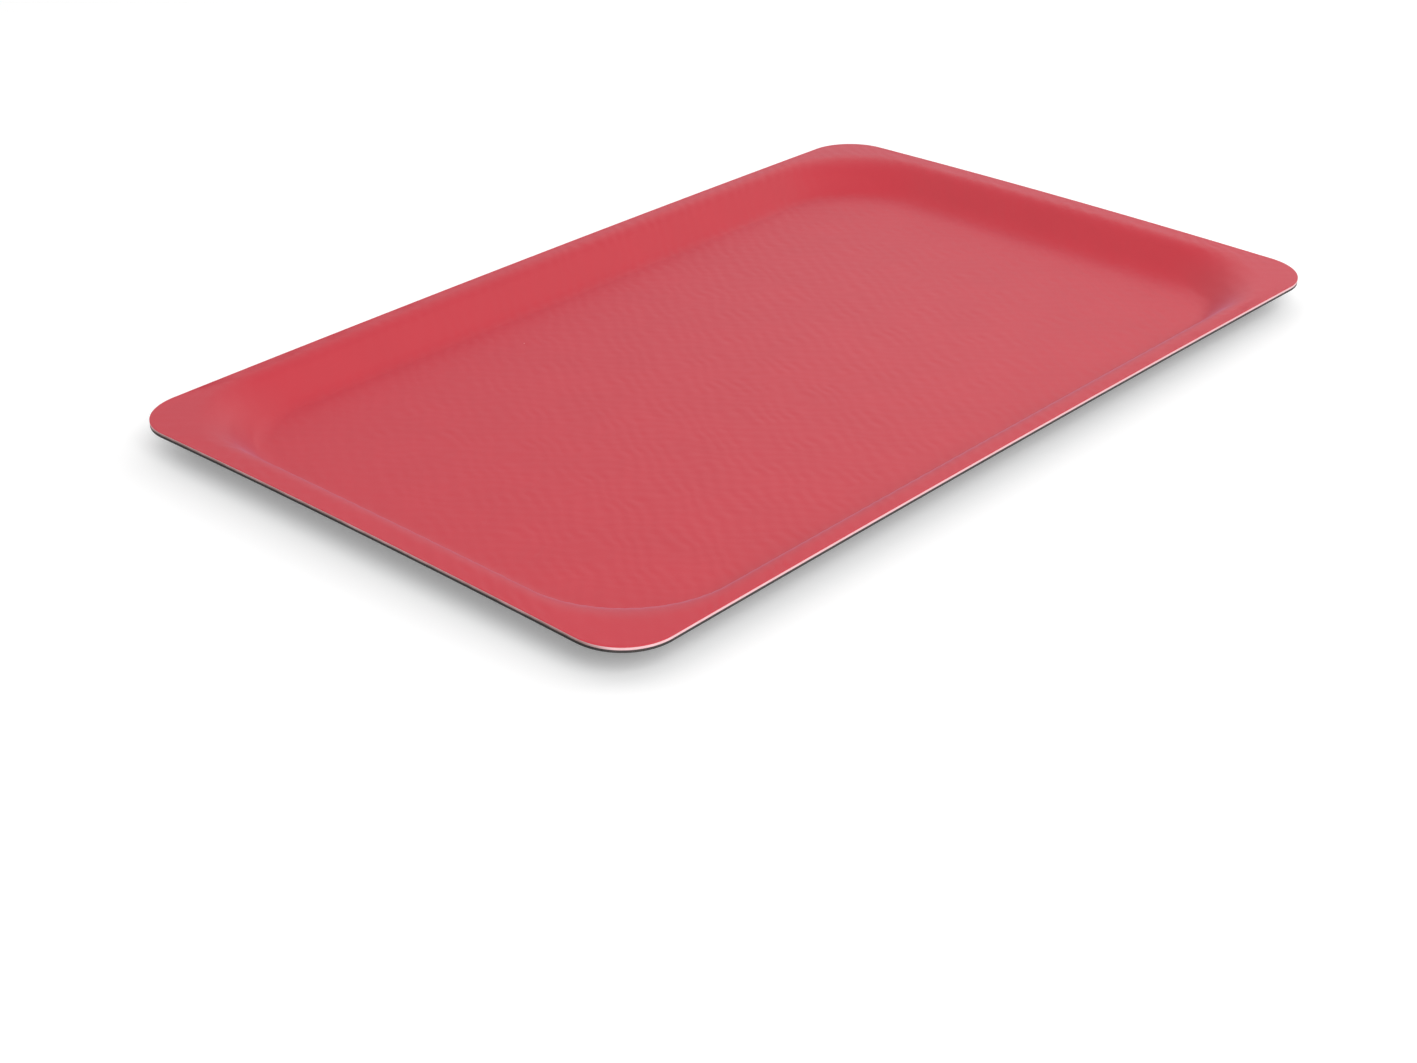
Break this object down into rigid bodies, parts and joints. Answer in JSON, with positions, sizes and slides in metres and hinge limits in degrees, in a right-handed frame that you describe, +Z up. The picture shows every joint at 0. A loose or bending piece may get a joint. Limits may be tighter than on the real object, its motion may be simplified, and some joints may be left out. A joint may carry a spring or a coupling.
{
  "type": "laminated anti-slip tray",
  "caption": "Shallow rectangular serving tray pressed from bonded laminate sheets, with a flat rim, sloping walls, broad soft corners and a textured anti-slip top.",
  "frame": {"origin": "middle of the underside, on the surface that the tray stands on", "axes": "+X along the length, +Y along the width, +Z up"},
  "size_m": [0.53, 0.325, 0.0189],
  "materials": {
    "anti_slip_film": "matt, fine embossed grip texture",
    "decor_paper": "resin-soaked coloured paper, sawn edge",
    "core_paper": "pale pressed paper laminate, sawn edge",
    "kraft_paper": "dark phenolic paper laminate, sawn edge",
    "backing": "satin dark melamine sheet with a fine grain"
  },
  "bodies": {
    "root": {"anti_slip_coat": "anti_slip_film", "colour_sheet": "decor_paper", "core_sheet_1": "core_paper", "core_sheet_2": "core_paper", "core_sheet_3": "core_paper", "core_sheet_4": "core_paper", "core_sheet_5": "core_paper", "base_sheet_1": "kraft_paper", "base_sheet_2": "kraft_paper", "base_sheet_3": "kraft_paper", "base_sheet_4": "kraft_paper", "backing_sheet": "backing"}
  },
  "joints": []
}
